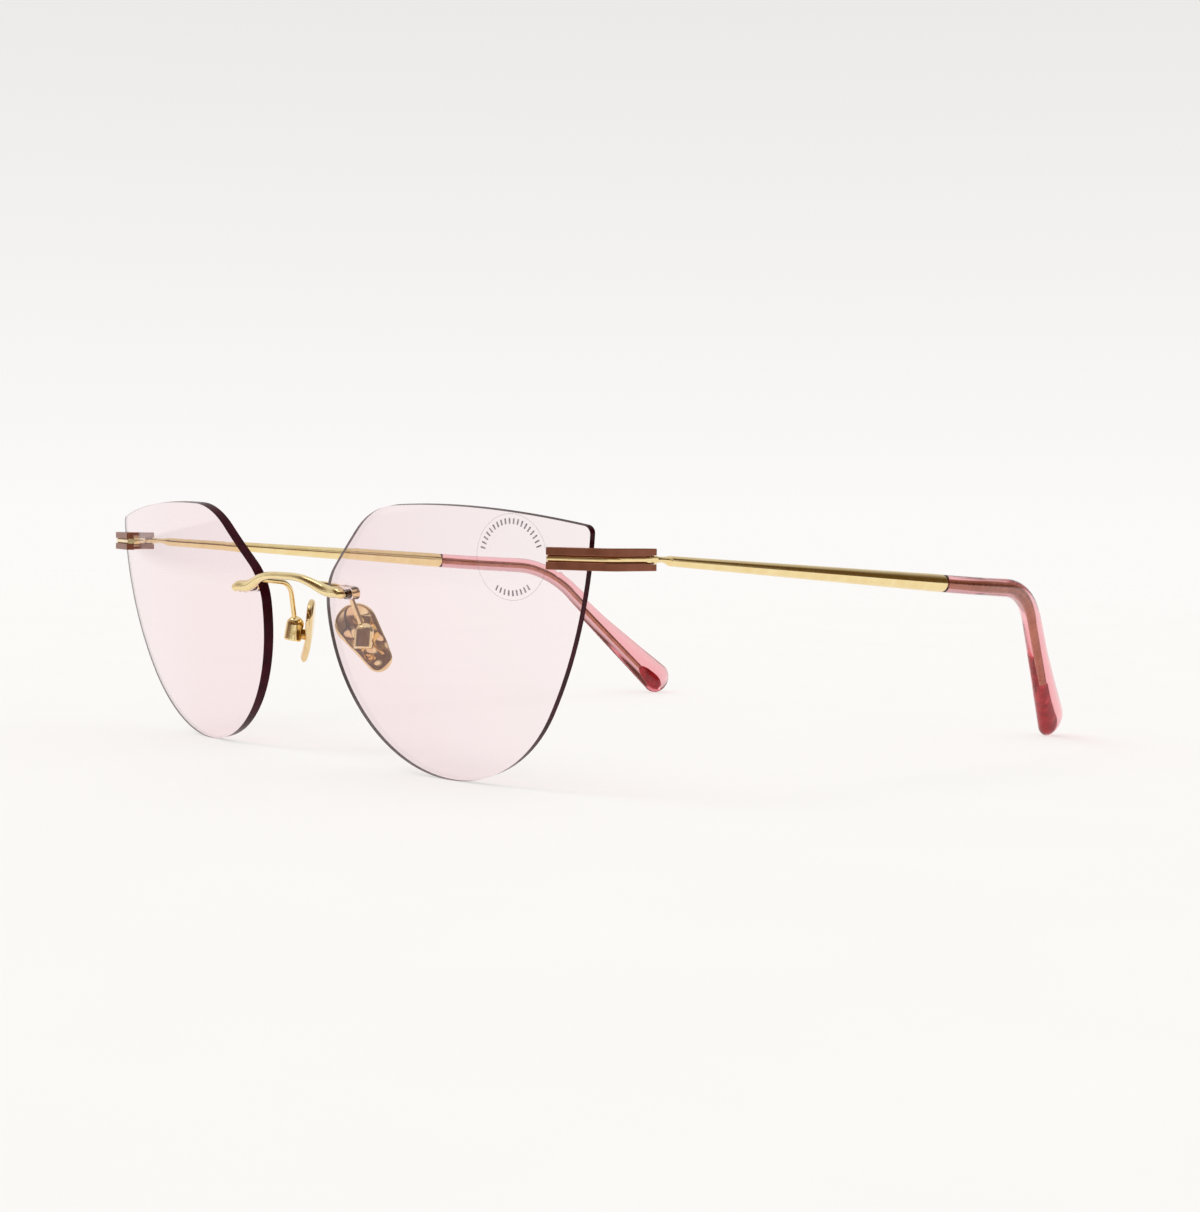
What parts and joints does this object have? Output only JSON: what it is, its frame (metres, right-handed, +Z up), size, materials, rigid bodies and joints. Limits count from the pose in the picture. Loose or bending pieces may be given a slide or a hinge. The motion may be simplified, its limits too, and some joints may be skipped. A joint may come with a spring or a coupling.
{
  "type": "cat eye sunglasses",
  "caption": "Rimless cat eye sunglasses: pale pink lenses on a gold wire bridge and banded end pieces, folding gold temples with bent pink tips.",
  "frame": {"origin": "on the surface that the open spectacles stand on, under the middle of their outer box; the lens datum is 67.0 mm in front of it", "axes": "+Z up, the lenses face -Y, the temples run back along +Y, +X is the wearer's left"},
  "size_m": [0.1392, 0.1422, 0.042],
  "materials": {
    "pink_lens": "clear pale pink, dark maroon at the ground edge",
    "gold": "polished gold plating",
    "copper_brown": "satin copper-brown",
    "screw_gold": "gold-plated screw",
    "core_gold": "drawn wire, seen through the tip",
    "clear_plastic": "clear polycarbonate",
    "pink_tip": "polished translucent pink acetate",
    "sticker_film": "clear film with a grey printed ring"
  },
  "bodies": {
    "front": {"bridge": "gold", "lens_sticker": "sticker_film", "left_lens": "pink_lens", "left_bridge_bushing": "clear_plastic", "left_end_bushing": "clear_plastic", "left_pad_arm": "gold", "left_pad_box": "gold", "left_pad_screw": "screw_gold", "left_end_core": "gold", "left_upper_rail": "copper_brown", "left_lower_rail": "copper_brown", "left_hinge_screw": "screw_gold", "right_lens": "pink_lens", "right_bridge_bushing": "clear_plastic", "right_end_bushing": "clear_plastic", "right_pad_arm": "gold", "right_pad_box": "gold", "right_pad_screw": "screw_gold", "right_end_core": "gold", "right_upper_rail": "copper_brown", "right_lower_rail": "copper_brown", "right_hinge_screw": "screw_gold"},
    "left_temple": {"left_temple_bar": "gold", "left_core_wire": "core_gold", "left_temple_tip": "pink_tip"},
    "right_temple": {"right_temple_bar": "gold", "right_core_wire": "core_gold", "right_temple_tip": "pink_tip"},
    "left_pad": {"left_nose_pad": "gold"},
    "right_pad": {"right_nose_pad": "gold"}
  },
  "joints": [
    {"name": "left_hinge", "type": "hinge", "parent": "front", "child": "left_temple", "pos_m": [0.0682, -0.05488, 0.03442], "axis": [0, 0, 1], "range_deg": [0, 84]},
    {"name": "right_hinge", "type": "hinge", "parent": "front", "child": "right_temple", "pos_m": [-0.0682, -0.05488, 0.03442], "axis": [0, 0, -1], "range_deg": [0, 77]},
    {"name": "left_pad_rock", "type": "hinge", "parent": "front", "child": "left_pad", "pos_m": [0.0104, -0.06108, 0.02], "axis": [-0.8147, -0.5799, 0], "range_deg": [-8, 8]},
    {"name": "right_pad_rock", "type": "hinge", "parent": "front", "child": "right_pad", "pos_m": [-0.0104, -0.06108, 0.02], "axis": [0.8147, -0.5799, 0], "range_deg": [-8, 8]}
  ]
}
